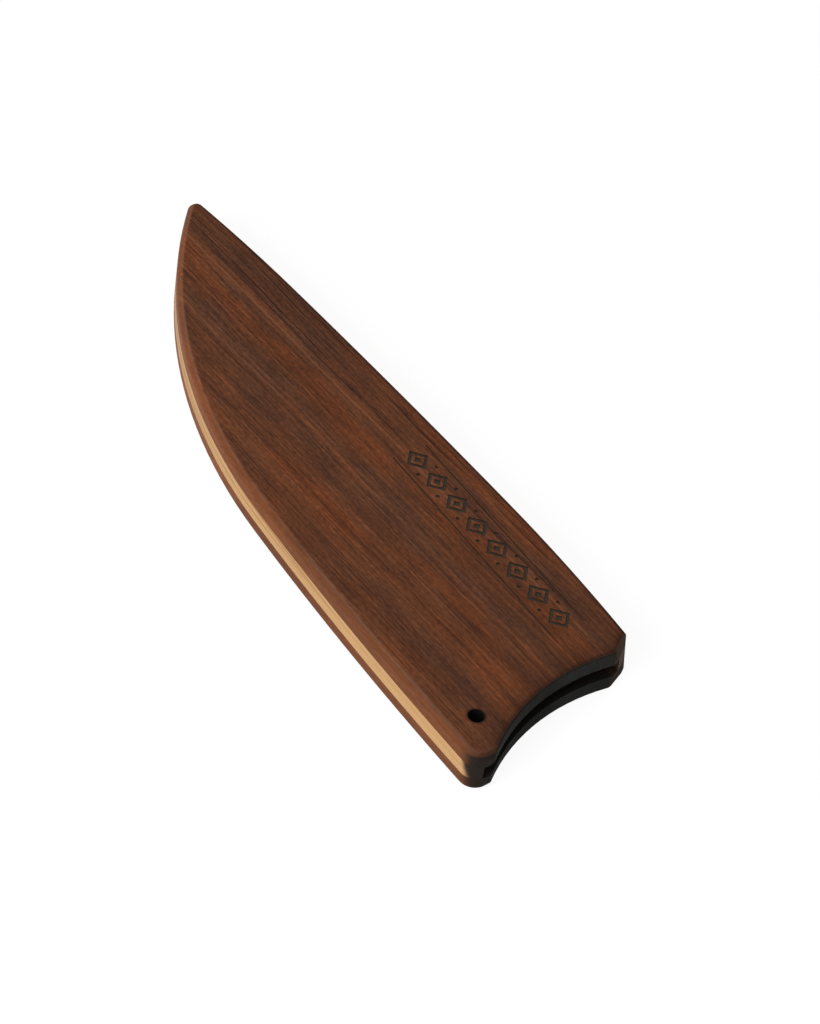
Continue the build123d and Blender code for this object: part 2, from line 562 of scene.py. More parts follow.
@dataclass(frozen=True)
class Char:
    """The black wall that a hot cutter leaves, and the brown rim that fades into the wood.

    A fade is a step over the depth in the wood, in millimetres: first where the char ends, then where it is
    full.

    Attributes:
        lobe_start: The step over the distance past the hollow, in millimetres, into the lobe.
        lobe_top: The step over how level the lobe is, at the end of which its wood is bare.
        clip_start: The step over the distance past the clipped corner's start, in millimetres.
        scorched: The step over how charred a place is, from scorched to black.
        smoked_share: How much of the wide, faint smoke is laid on.
        lobe_spare: How much farther the char reaches round the lobe at the lobe's level, in millimetres.
        lobe_lean: How much that grows for each millimetre under the level.
        inner_level: The middle of the slot's height, in millimetres.
        inner_half_height: How far over and under it a face counts as one of the slot's, in millimetres.
        level_limit: How level a face is for it to count as the slot's floor or roof.
        rail_limit: How far from the middle, in millimetres, a wall is for it to count as a rail's.
    """

    coal: Colour = (0.0105, 0.0102, 0.0086)
    ash: Colour = (0.0195, 0.0188, 0.0160)
    # char and painted shade: the hole's wall is nearly black, darker than the char elsewhere
    hole_char_and_shade: Colour = (0.0035, 0.0032, 0.0028)
    lobe_brown: Colour = (0.0155, 0.0108, 0.0085)
    clip_brown: Colour = (0.054, 0.0310, 0.0185)
    scorch: Colour = (0.075, 0.0330, 0.0165)
    toast: Colour = (0.42, 0.38, 0.37)
    smoke: Colour = (0.52, 0.53, 0.57)
    low_shade: Colour = (0.48, 0.50, 0.46)
    coal_fade: Step = (0.6, 0.1)
    lobe_fade: Step = (6.5, 0.0)
    slot_fade: Step = (14.0, 0.0)
    toast_fade: Step = (2.1, 0.2)
    smoke_fade: Step = (10.0, -3.0)
    hole_fade: Step = (0.2, 0.0)
    hole_toast_fade: Step = (0.9, 0.1)
    lobe_start: Step = (-0.6, 1.4)
    lobe_top: Step = (0.15, 0.95)
    clip_start: Step = (0.2, 1.4)
    scorched: Step = (0.25, 0.95)
    clip_share: float = 0.8
    smoked_share: float = 1.0
    lobe_spare: float = 3.4
    lobe_lean: float = 0.1
    lobe_level: float = 12.0
    inner_level: float = 7.2
    inner_half_height: float = 2.36
    level_limit: float = 0.7
    rail_limit: float = 6.0
    uneven: Grain = Grain((0.9, 0.9, 2.5), seed=4.0, detail=3.0, rough=0.6)
    uneven_width: float = 0.35
    hole_uneven_share: float = 0.3
    streaks: Grain = Grain((0.35, 0.35, 6.0), seed=9.0, rough=0.6)
    streak_step: Step = (0.35, 0.7)

    def lay_on(self, recipe: Recipe, wood: Wire) -> tuple[Wire, Wire]:
        """Lays the char over a wood's colour, with painted shade on the lower wall and in the hole.

        Args:
            recipe: The material's tree.
            wood: The wood's colour.

        Returns:
            The charred colour, and how charred each place is, from 0 to 1.
        """
        place = recipe.place()
        x, y, z = recipe.split(place)
        outline = MouthOutline()
        uneven = (recipe.noise(place, self.uneven, 0.0) - FIELD_MEAN) * self.uneven_width
        mouth = outline.depth(x, y, z, (self.lobe_level - z) * self.lobe_lean + self.lobe_spare) + uneven
        hole = PegHole().depth(x, y) + uneven * self.hole_uneven_share
        hole_char_and_shade = hole.rise(*self.hole_fade)
        lobe = outline.past_lobe(x, y).rise(*self.lobe_start)
        coal = self.wall(recipe, mouth, lobe).most(self.slot(recipe, mouth, y, z)).most(hole_char_and_shade)
        streaks = recipe.noise(place, self.streaks, 0.0).rise(*self.streak_step)
        black = recipe.mix(self.coal, self.ash, streaks)
        black = recipe.mix(black, self.lobe_brown, lobe)
        clip = outline.past_clip(y).rise(*self.clip_start)
        black = recipe.mix(black, self.clip_brown, clip * self.clip_share)
        low = z.rise(self.inner_level, self.inner_level - self.inner_half_height) * (1 - lobe)
        black = recipe.stain(black, self.low_shade, low)
        black = recipe.mix(self.scorch, black, coal.rise(*self.scorched))
        # the hole's wall: char darkened further by painted shade
        black = recipe.mix(black, self.hole_char_and_shade, hole_char_and_shade)
        wood = recipe.stain(wood, self.smoke, mouth.rise(*self.smoke_fade) * self.smoked_share)
        toast = mouth.rise(*self.toast_fade).most(hole.rise(*self.hole_toast_fade))
        return recipe.mix(recipe.stain(wood, self.toast, toast), black, coal), coal

    def wall(self, recipe: Recipe, mouth: Wire, lobe: Wire) -> Wire:
        """Finds how charred the mouth's wall is.

        Args:
            recipe: The material's tree.
            mouth: The depth behind the mouth's wall, in millimetres.
            lobe: How far a place belongs to the lobe, from 0 to 1.

        Returns:
            How charred each place is, from 0 to 1: farther round the lobe, but not over its top.
        """
        coal = mouth.rise(*self.coal_fade)
        coal = coal + (mouth.rise(*self.lobe_fade) - coal) * lobe
        level = recipe.facing()[2].size()
        coal = coal * (1 - lobe * level.rise(*self.lobe_top))
        return coal * (2 - coal)

    def slot(self, recipe: Recipe, mouth: Wire, y: Wire, z: Wire) -> Wire:
        """Finds how sooty the blade slot is.

        Args:
            recipe: The material's tree.
            mouth: The depth behind the mouth's wall, in millimetres.
            y: The place across the guard, in millimetres.
            z: The place's height, in millimetres.

        Returns:
            How sooty each place is, from 0 to 1, and 0 outside the slot.
        """
        _, faces_y, faces_z = recipe.facing()
        inner = 1 - (z - self.inner_level).size().above(self.inner_half_height)
        floor_or_roof = faces_z.size().above(self.level_limit) * inner
        rail = (0.0 - y * faces_y).above(self.rail_limit) * inner
        return mouth.rise(*self.slot_fade) * floor_or_roof.most(rail)


@dataclass(frozen=True)
class Figure:
    """The fields of one dark board that its colour and its relief share.

    Attributes:
        place: The place in the part's frame, in millimetres.
        seed: The shift that makes this board's grain its own.
        wander: How far the growth rings wander off their course, in millimetres.
        ring: The distance from the tree's heart, in millimetres.
    """

    place: Wire
    seed: float
    wander: Wire
    ring: Wire
    streaks: Wire
    fibres: Wire
    pores: Wire


@dataclass(frozen=True)
class RimFinish:
    """The rounded rim of a dark board: sanded, worn along its crest, darker on the spine's side.

    A level is a step over how level the surface is, from 0 on an upright wall to 1 on a flat face.

    Attributes:
        spine_facing: The step over how far the surface faces the spine.
        front_light_length: The step along the guard, in millimetres, towards the painted light near the tip.
        highlight_breakup: The unevenness of the painted highlight, whose share is laid over its base.
    """

    sanded: Colour = (0.131, 0.0450, 0.0175)
    upright: Colour = (1.06, 1.05, 0.97)
    # painted highlight along the rounding's upper edge, greyish pink
    crest_highlight: Colour = (0.160, 0.0790, 0.0480)
    # painted shade on the spine's side of the rim
    spine: Colour = (0.55, 0.52, 0.50)
    # painted light: the rim away from the spine is lighter towards the tip
    front: Colour = (1.38, 1.31, 1.22)
    sanded_share: float = 0.6
    sanded_level: Step = (0.98, 0.75)
    upright_level: Step = (0.45, 0.1)
    crest_low_level: Step = (0.74, 0.90)
    crest_high_level: Step = (0.997, 0.95)
    spine_level: Step = (0.999, 0.96)
    spine_low_level: Step = (0.05, 0.35)
    spine_facing: Step = (0.01, 0.15)
    front_light_level: Step = (0.995, 0.92)
    front_light_length: Step = (18.0, -30.0)
    highlight_breakup: Grain = Grain((9.0, 2.0, 2.0), seed=4.0, rough=0.6)
    highlight_step: Step = (0.3, 0.6)
    highlight_share: float = 0.3
    highlight_base: float = 0.22

    def lay_on(self, recipe: Recipe, wood: Wire, figure: Figure) -> tuple[Wire, Wire]:
        """Lays the rim's finish, with its painted highlight, shade and light, over a wood's colour.

        Args:
            recipe: The material's tree.
            wood: The wood's colour.
            figure: The board's fields.

        Returns:
            The colour, and how far each place lies on the spine's rim with its painted shade, from 0 to 1.
        """
        x, _, _ = recipe.split(figure.place)
        _, faces_y, faces_z = recipe.facing()
        level = faces_z.size()
        spine_side = faces_y.rise(*self.spine_facing)
        shaded_spine_rim = level.rise(*self.spine_level) * spine_side
        highlight_patches = recipe.noise(figure.place, self.highlight_breakup, figure.seed).rise(*self.highlight_step)
        highlight_patches = highlight_patches * self.highlight_share + self.highlight_base
        # painted highlight along the rounding's upper edge, broken up by noise
        crest_highlight = level.rise(*self.crest_low_level) * level.rise(*self.crest_high_level) * highlight_patches
        # painted light towards the tip, on the rim away from the spine
        front = x.rise(*self.front_light_length) * level.rise(*self.front_light_level)
        colour = recipe.mix(wood, self.sanded, level.rise(*self.sanded_level) * self.sanded_share)
        colour = recipe.stain(colour, self.upright, level.rise(*self.upright_level))
        colour = recipe.mix(colour, self.crest_highlight, crest_highlight * (1 - spine_side))
        # painted shade on the rim turned towards the spine
        colour = recipe.stain(colour, self.spine, shaded_spine_rim * level.rise(*self.spine_low_level))
        return recipe.stain(colour, self.front, front * (1 - spine_side)), shaded_spine_rim


@dataclass(frozen=True)
class DarkWood(Finish):
    """Oiled dark brown wood with straight streaks, redder patches and short open pores.

    A share is the weight of one field in the tone, which the stops turn into a colour. A length is a step
    over the place along the guard, and a width one over the place across it, in millimetres.

    Attributes:
        heart: The tree's heart across the guard and over the table, in millimetres.
        shares_middle: The sum of the weighted fields where the tone is at its middle.
        contrast_fall: How much of the contrast goes for each millimetre towards the mouth.
        amber_hue: The step over the hue field towards the warmer stain.
        dusk_hue: The step over the hue field towards the cooler stain.
        vein_base: How much of the dark veins is left on the cutting edge's side.
        relief_depth: The full height of the grain's relief, in millimetres.
    """

    stops: tuple[tuple[float, Colour], ...] = (
        (0.20, (0.048, 0.0165, 0.0080)),
        (0.42, (0.093, 0.0315, 0.0140)),
        (0.58, (0.134, 0.0455, 0.0190)),
        (0.80, (0.205, 0.0730, 0.0310)),
    )
    amber: Colour = (1.28, 1.12, 0.94)
    dusk: Colour = (0.82, 0.91, 1.06)
    shade: Colour = (0.74, 0.76, 0.80)
    vein: Colour = (0.42, 0.42, 0.46)
    mouth_dusk: Colour = (0.88, 0.90, 0.93)
    heart: Place = (-330.0, -90.0)
    wander: Grain = Grain((70.0, 30.0, 30.0))
    wander_width: float = 5.0
    streaks: Lines = Lines(1.5, detail=4.0, rough=0.62)
    bands: Lines = Lines(8.0, seed=5.0)
    threads: Lines = Lines(0.62, seed=2.0, rough=0.6)
    fibres: Grain = Grain((10.0, 0.42, 0.42), rough=0.7)
    patches: Grain = Grain((13.0, 6.0, 6.0), seed=2.0)
    mottle: Grain = Grain((1.6, 0.8, 0.8), seed=6.0, detail=1.0)
    pores: Grain = Grain((3.4, 0.3, 0.3), seed=3.0, detail=1.0)
    pore_step: Step = (0.58, 0.70)
    thread_share: float = 0.35
    fibre_share: float = 0.8
    mottle_share: float = 0.45
    streak_share: float = 0.5
    band_share: float = 0.4
    patch_share: float = 0.3
    pore_share: float = 0.16
    shares_middle: float = 1.39
    tone_middle: float = 0.5
    contrast_fall: float = 0.0016
    hue_patches: Grain = Grain((30.0, 6.0, 6.0), seed=7.0)
    hue_lines: Lines = Lines(12.0, detail=1.0)
    hue_patch_share: float = 0.6
    hue_line_share: float = 0.4
    warm_stripe: Stripe = Stripe((6.0, 12.0), (31.0, 24.0), 0.06)
    cool_stripe: Stripe = Stripe((-4.0, 2.0), (9.0, 5.0), 0.08)
    amber_hue: Step = (0.49, 0.64)
    dusk_hue: Step = (0.49, 0.36)
    shade_width: Step = (19.0, 29.0)
    shade_length: Step = (30.0, -40.0)
    veins: Lines = Lines(1.7, seed=9.0, detail=1.0)
    vein_step: Step = (0.55, 0.66)
    vein_width: Step = (4.0, 24.0)
    vein_base: float = 0.1
    breaks: Grain = Grain((45.0, 2.0, 2.0), seed=1.0, detail=1.0)
    break_step: Step = (0.40, 0.56)
    mouth_dusk_length: Step = (45.0, 85.0)
    mouth_dusk_width: Step = (-20.0, 5.0)
    rim: RimFinish = RimFinish()
    char: Char = Char()
    fibre_relief: float = 0.55
    streak_relief: float = 0.25
    pore_relief: float = 0.5
    relief_depth: float = 0.045
    roughness: float = 0.58
    fibre_gloss: float = 0.12
    char_dullness: float = 0.18
    spine_dullness: float = 0.2
    specular: float = 0.06

    def sockets(self, recipe: Recipe, seed: float) -> dict[str, Any]:
        """Makes what the shader's sockets take.

        Args:
            recipe: The material's tree.
            seed: A shift that makes this board's grain its own.

        Returns:
            A plain value or a wire for each named socket.
        """
        figure = self.figure(recipe, seed)
        colour = recipe.ramp(self.tone(recipe, figure), self.stops)
        colour = self.stained(recipe, figure, colour)
        colour, shaded_spine_rim = self.rim.lay_on(recipe, colour, figure)
        x, y, _ = recipe.split(figure.place)
        near_mouth = x.rise(*self.mouth_dusk_length) * y.rise(*self.mouth_dusk_width)
        colour = recipe.stain(colour, self.mouth_dusk, near_mouth)
        colour, char = self.char.lay_on(recipe, colour)
        relief = figure.fibres * self.fibre_relief + figure.streaks * self.streak_relief
        relief = relief - figure.pores * self.pore_relief
        roughness = self.roughness - figure.fibres * self.fibre_gloss
        return {
            "Base Color": colour,
            "Roughness": roughness + char * self.char_dullness + shaded_spine_rim * self.spine_dullness,
            "Specular IOR Level": self.specular,
            "Normal": recipe.bump(relief, self.relief_depth),
        }

    def figure(self, recipe: Recipe, seed: float) -> Figure:
        """Makes the board's shared fields.

        Args:
            recipe: The material's tree.
            seed: A shift that makes this board's grain its own.

        Returns:
            The fields.
        """
        place = recipe.place()
        _, y, z = recipe.split(place)
        wander = (recipe.noise(place, self.wander, seed) - FIELD_MEAN) * self.wander_width
        ring = distance(y, z, self.heart) + wander
        return Figure(
            place=place,
            seed=seed,
            wander=wander,
            ring=ring,
            streaks=recipe.lines(ring, self.streaks, seed),
            fibres=recipe.noise(place, self.fibres, seed),
            pores=recipe.noise(place, self.pores, seed).rise(*self.pore_step),
        )

    def tone(self, recipe: Recipe, figure: Figure) -> Wire:
        """Weighs the fields up into one tone.

        Args:
            recipe: The material's tree.
            figure: The board's fields.

        Returns:
            The tone, around its middle, which the stops turn into a colour.
        """
        threads = recipe.lines(figure.ring, self.threads, figure.seed)
        bands = recipe.lines(figure.ring, self.bands, figure.seed)
        mottle = recipe.noise(figure.place, self.mottle, figure.seed)
        patches = recipe.noise(figure.place, self.patches, figure.seed)
        tone = threads * self.thread_share + figure.fibres * self.fibre_share + mottle * self.mottle_share
        tone = tone + figure.streaks * self.streak_share + bands * self.band_share
        tone = tone + patches * self.patch_share - figure.pores * self.pore_share - self.shares_middle
        x, _, _ = recipe.split(figure.place)
        return tone * (1 - x * self.contrast_fall) + self.tone_middle

    def stained(self, recipe: Recipe, figure: Figure, wood: Wire) -> Wire:
        """Stains the wood warmer and cooler, darkens the spine's front and draws the dark veins.

        Args:
            recipe: The material's tree.
            figure: The board's fields.
            wood: The wood's colour.

        Returns:
            The stained colour.
        """
        x, y, _ = recipe.split(figure.place)
        across = y + figure.wander
        hue = recipe.noise(figure.place, self.hue_patches, figure.seed) * self.hue_patch_share
        hue = hue + recipe.lines(figure.ring, self.hue_lines, figure.seed) * self.hue_line_share
        hue = hue + self.warm_stripe.at(across) - self.cool_stripe.at(across)
        colour = recipe.stain(wood, self.amber, hue.rise(*self.amber_hue))
        colour = recipe.stain(colour, self.dusk, hue.rise(*self.dusk_hue))
        colour = recipe.stain(colour, self.shade, y.rise(*self.shade_width) * x.rise(*self.shade_length))
        veins = recipe.lines(figure.ring, self.veins, figure.seed).rise(*self.vein_step)
        veins = veins * (y.rise(*self.vein_width) * (1 - self.vein_base) + self.vein_base)
        breaks = recipe.noise(figure.place, self.breaks, figure.seed).rise(*self.break_step)
        return recipe.stain(colour, self.vein, veins * breaks)


@dataclass(frozen=True)
class PaleWood(Finish):
    """Oiled pale tan wood, whose growth lines lie nearly flat in the board.

    Attributes:
        heart: The tree's heart across the guard and over the table, in millimetres.
        slope: How far a growth line climbs for each millimetre along the guard.
        ring_length: The step over the place along the guard, in millimetres, from faint lines to clear ones.
        top_light: The step over the height, in millimetres, towards the lighter top of the board.
        clear_ring_level: The height of the one clear growth line, in millimetres.
        relief_depth: The full height of the grain's relief, in millimetres.
    """

    ground: Colour = (0.44, 0.252, 0.110)
    light: Colour = (0.52, 0.312, 0.144)
    line: Colour = (0.275, 0.140, 0.053)
    heart: Place = (6.0, -140.0)
    slope: float = 0.006
    wander: Grain = Grain((80.0, 40.0, 40.0))
    wander_width: float = 2.4
    rings: Lines = Lines(1.1)
    ring_step: Step = (0.52, 0.62)
    ring_length: Step = (56.0, 24.0)
    ring_share: float = 0.45
    ring_base: float = 0.2
    fine: Lines = Lines(0.4, seed=4.0)
    fibres: Grain = Grain((7.0, 0.3, 0.3), detail=3.0, rough=0.6)
    fibre_share: float = 0.5
    fine_share: float = 0.5
    light_step: Step = (0.38, 0.62)
    top_light: Step = (8.3, 9.4)
    top_light_share: float = 0.6
    clear_ring_level: float = 7.6
    clear_ring_sides: Step = (0.28, 0.07)
    clear_ring_wander: float = 0.35
    clear_ring_share: float = 0.8
    clear_ring_base: float = 0.08
    fibre_relief: float = 0.7
    ring_relief: float = 0.3
    relief_depth: float = 0.06
    roughness: float = 0.6
    fibre_gloss: float = 0.1
    char_dullness: float = 0.15
    specular: float = 0.08
    char: Char = Char(smoked_share=0.0, lobe_spare=1.8, lobe_lean=0.45, lobe_level=7.2, lobe_fade=(3.4, 0.0))

    def sockets(self, recipe: Recipe, seed: float) -> dict[str, Any]:
        """Makes what the shader's sockets take.

        Args:
            recipe: The material's tree.
            seed: A shift that makes this board's grain its own.

        Returns:
            A plain value or a wire for each named socket.
        """
        place = recipe.place()
        x, y, z = recipe.split(place)
        wander = (recipe.noise(place, self.wander, seed) - FIELD_MEAN) * self.wander_width
        ring = distance(y, z, self.heart) + wander + x * self.slope
        rings = recipe.lines(ring, self.rings, seed)
        fibres = recipe.noise(place, self.fibres, seed)
        mixed = fibres * self.fibre_share + recipe.lines(ring, self.fine, seed) * self.fine_share
        colour = recipe.mix(self.ground, self.light, mixed.rise(*self.light_step))
        colour = recipe.mix(colour, self.light, z.rise(*self.top_light) * self.top_light_share)
        ringed = x.rise(*self.ring_length)
        ring_weight = ringed * self.ring_share + self.ring_base
        colour = recipe.mix(colour, self.line, rings.rise(*self.ring_step) * ring_weight)
        clear_ring = (z + wander * self.clear_ring_wander - x * self.slope - self.clear_ring_level).size()
        clear_weight = ringed * self.clear_ring_share + self.clear_ring_base
        colour = recipe.mix(colour, self.line, clear_ring.rise(*self.clear_ring_sides) * clear_weight)
        colour, char = self.char.lay_on(recipe, colour)
        relief = fibres * self.fibre_relief + rings * self.ring_relief
        return {
            "Base Color": colour,
            "Roughness": self.roughness - fibres * self.fibre_gloss + char * self.char_dullness,
            "Specular IOR Level": self.specular,
            "Normal": recipe.bump(relief, self.relief_depth),
        }


@dataclass(frozen=True)
class BurntLine(Finish):
    """An engraved line's floor and walls, dull and sooty; the walls' char is darkened by painted shade."""

    floor: Colour = (0.033, 0.0240, 0.0165)
    dust: Colour = (0.050, 0.0365, 0.0250)
    # char plus painted shade: the recess walls are darker than the floor
    wall: Colour = (0.018, 0.0095, 0.0060)
    grain: Grain = Grain((2.2, 0.22, 0.5), seed=1.0, detail=3.0, rough=0.6)
    dust_step: Step = (0.35, 0.65)
    floor_facing: Step = (0.3, 0.8)
    relief_depth: float = 0.05
    roughness: float = 0.75
    grain_gloss: float = 0.1
    specular: float = 0.15

    def sockets(self, recipe: Recipe, seed: float) -> dict[str, Any]:
        """Makes what the shader's sockets take.

        Args:
            recipe: The material's tree.
            seed: A further shift of the grain.

        Returns:
            A plain value or a wire for each named socket.
        """
        grain = recipe.noise(recipe.place(), self.grain, seed)
        colour = recipe.mix(self.floor, self.dust, grain.rise(*self.dust_step))
        # walls take the darker colour: char plus painted shade in the recess
        colour = recipe.mix(self.wall, colour, recipe.facing()[2].rise(*self.floor_facing))
        return {
            "Base Color": colour,
            "Roughness": self.roughness - grain * self.grain_gloss,
            "Specular IOR Level": self.specular,
            "Normal": recipe.bump(grain, self.relief_depth),
        }


@dataclass(frozen=True)
class NickelPlate(Finish):
    """Bright nickel plating with a fine, uneven polish."""

    bright: Colour = (0.66, 0.64, 0.60)
    dull: Colour = (0.50, 0.48, 0.45)
    cloud: Grain = Grain((2.0, 2.0, 2.0), seed=2.0, detail=3.0)
    cloud_step: Step = (0.3, 0.7)
    scratches: Grain = Grain((4.0, 0.08, 0.3), seed=6.0, rough=0.6)
    roughness: float = 0.22
    scratch_dullness: float = 0.16
    relief_depth: float = 0.004

    def sockets(self, recipe: Recipe, seed: float) -> dict[str, Any]:
        """Makes what the shader's sockets take.

        Args:
            recipe: The material's tree.
            seed: A further shift of the polish.

        Returns:
            A plain value or a wire for each named socket.
        """
        place = recipe.place()
        cloud = recipe.noise(place, self.cloud, seed)
        scratches = recipe.noise(place, self.scratches, seed)
        return {
            "Base Color": recipe.mix(self.dull, self.bright, cloud.rise(*self.cloud_step)),
            "Metallic": 1.0,
            "Roughness": self.roughness + scratches * self.scratch_dullness,
            "Normal": recipe.bump(scratches, self.relief_depth),
        }


@dataclass
class EngravedBand:
    """A plain border of lozenges and dots between two ruled lines, cut into the front board near its spine.

    Attributes:
        ring_strokes: How many strokes shorter a lozenge's inner outline is than its outer one.
        core_scale: The size of the small lozenge in the middle, as a share of the whole one.
        rise: How far the cutter stands out over the board.
        cut_depths: Between which heights a face belongs to the cuts, in depths over the outer face.
    """

    middle: Place = (48.0 * MM, 18.5 * MM)
    lean: float = math.radians(-3.0)
    length: float = 76.0 * MM
    lozenges: int = 8
    lozenge_length: float = 8.2 * MM
    lozenge_height: float = 7.4 * MM
    stroke: float = 1.0 * MM
    ring_strokes: float = 2.9
    core_scale: float = 0.3
    rule_gap: float = 5.6 * MM
    rule_width: float = 0.55 * MM
    dot_radius: float = 0.55 * MM
    depth: float = 0.3 * MM
    rise: float = 0.5 * MM
    cut_depths: Step = (-2.0, -0.25)
    dot_sides: int = 16

    def pitch(self) -> float:
        """Returns the distance from one lozenge to the next."""
        return (self.length - self.lozenge_length) / (self.lozenges - 1)

    def lozenge(self, x: float, scale: float) -> list[Place]:
        """Draws a lozenge on the band's middle line.

        Args:
            x: The place of its middle along the band.
            scale: Its size, as a share of the whole one.

        Returns:
            Its four corners.
        """
        half_length = self.lozenge_length / 2 * scale
        half_height = self.lozenge_height / 2 * scale
        return [(x + half_length, 0.0), (x, half_height), (x - half_length, 0.0), (x, -half_height)]

    def rule(self, y: float) -> list[Place]:
        """Draws a ruled line with pointed ends.

        Args:
            y: Its height on the band.

        Returns:
            Its outline.
        """
        half_length = self.length / 2
        half_width = self.rule_width / 2
        shoulder = half_length - self.rule_width
        return [
            (half_length, y), (shoulder, y + half_width), (-shoulder, y + half_width),
            (-half_length, y), (-shoulder, y - half_width), (shoulder, y - half_width),
        ]

    def dot(self, x: float, y: float) -> list[Place]:
        """Draws a round dot.

        Args:
            x: The place of its middle along the band.
            y: Its middle's height on the band.

        Returns:
            Its outline.
        """
        turns = [math.tau * side / self.dot_sides for side in range(self.dot_sides)]
        radius = self.dot_radius
        return [(x + radius * math.cos(turn), y + radius * math.sin(turn)) for turn in turns]

    def loops(self) -> list[list[list[Place]]]:
        """Lists the outlines to cut.

        Returns:
            Each cut's loops: an outer one and, in a ring, an inner one with as many points.
        """
        cuts = [[self.rule(self.rule_gap)], [self.rule(-self.rule_gap)]]
        inner_scale = 1 - self.ring_strokes * self.stroke / self.lozenge_length
        for index in range(self.lozenges):
            x = -self.length / 2 + self.lozenge_length / 2 + index * self.pitch()
            cuts.append([self.lozenge(x, 1.0), self.lozenge(x, inner_scale)])
            cuts.append([self.lozenge(x, self.core_scale)])
            if index:
                between = x - self.pitch() / 2
                height = self.lozenge_height / 2 - self.dot_radius
                cuts += [[self.dot(between, height)], [self.dot(between, -height)]]
        return cuts

    def to_part(self, level: float) -> Matrix:
        """Returns the transform from the band's own frame to the part's, with its top at a level."""
        return Matrix.Translation((*self.middle, level)) @ Matrix.Rotation(self.lean, 4, "Z")

    def cutter(self, level: float) -> bpy.types.Mesh:
        """Builds the closed solids that are cut away.

        Args:
            level: The height of the board's outer face.

        Returns:
            One mesh of all the cuts.
        """
        shape = bmesh.new()
        for loops in self.loops():
            rows = [
                [[shape.verts.new((x, y, z)) for x, y in loop] for z in (self.rise, -self.depth)]
                for loop in loops
            ]
            for top, bottom in rows:
                for here in range(len(top)):
                    there = (here + 1) % len(top)
                    shape.faces.new((top[here], top[there], bottom[there], bottom[here]))
            for outer, inner in zip(rows[0], rows[-1]):
                if outer is inner:
                    shape.faces.new(outer)
                    continue
                for here in range(len(outer)):
                    there = (here + 1) % len(outer)
                    shape.faces.new((outer[here], outer[there], inner[there], inner[here]))
        bmesh.ops.recalc_face_normals(shape, faces=shape.faces)
        mesh = bpy.data.meshes.new("band_cuts")
        shape.to_mesh(mesh)
        shape.free()
        mesh.transform(self.to_part(level))
        return mesh

    def holds(self, point: Vector, level: float) -> bool:
        """Tells whether a point lies in the cuts.

        Args:
            point: The point, in the part's frame.
            level: The height of the board's outer face.

        Returns:
            True where it is in the band and below the outer face.
        """
        own = self.to_part(level).inverted() @ point
        in_band = abs(own.x) <= self.length / 2 and abs(own.y) <= self.rule_gap + self.rule_width
        lowest, highest = self.cut_depths
        return in_band and lowest < own.z / self.depth < highest


class FaceRank(IntEnum):
    """How much a face decides the shading of one beside it."""

    ROUND = 0
    UPRIGHT = 1
    LEVEL = 2


@dataclass(frozen=True)
class BoardShading:
    """Corner normals of a board: level and upright faces look flat, and the rounding runs into both."""

    sharp_angle: float = math.radians(32)
    level_limit: float = 0.9998
    upright_limit: float = 0.02

    def rank(self, face: bpy.types.MeshPolygon) -> FaceRank:
        """Ranks a face by how it lies.

        Args:
            face: The face.

        Returns:
            Its rank.
        """
        lift = abs(face.normal.z)
        if lift > self.level_limit:
            return FaceRank.LEVEL
        return FaceRank.UPRIGHT if lift < self.upright_limit else FaceRank.ROUND

    def corner(self, face: bpy.types.MeshPolygon, around: Sequence[bpy.types.MeshPolygon]) -> Vector:
        """Finds the normal of one corner of a face.

        Args:
            face: The face.
            around: All faces that meet at the corner.

        Returns:
            The mean normal of the deciding faces that meet this one without a sharp edge.
        """
        alike = [other for other in around if other.material_index == face.material_index]
        limit = math.cos(self.sharp_angle)
        near = [other for other in alike if other.normal.dot(face.normal) > limit]
        highest = max((self.rank(other) for other in near), default=FaceRank.ROUND)
        total = Vector()
        for other in near:
            if self.rank(other) == highest:
                total += other.normal * other.area
        return total.normalized() if total.length else face.normal.copy()

    def lay_on(self, mesh: bpy.types.Mesh) -> None:
        """Gives every corner of a mesh its normal.

        Args:
            mesh: The mesh, whose faces have their finishes already.
        """
        around: list[list[bpy.types.MeshPolygon]] = [[] for _ in mesh.vertices]
        for face in mesh.polygons:
            for vertex in face.vertices:
                around[vertex].append(face)
        mesh.shade_smooth()
        normals = [self.corner(face, around[vertex]) for face in mesh.polygons for vertex in face.vertices]
        mesh.normals_split_custom_set(normals)


class Assembly:
    """Pieces that are built together."""

    def build(self) -> list[bpy.types.Object]:
        """Builds and dresses the pieces, and returns them."""
        raise NotImplementedError


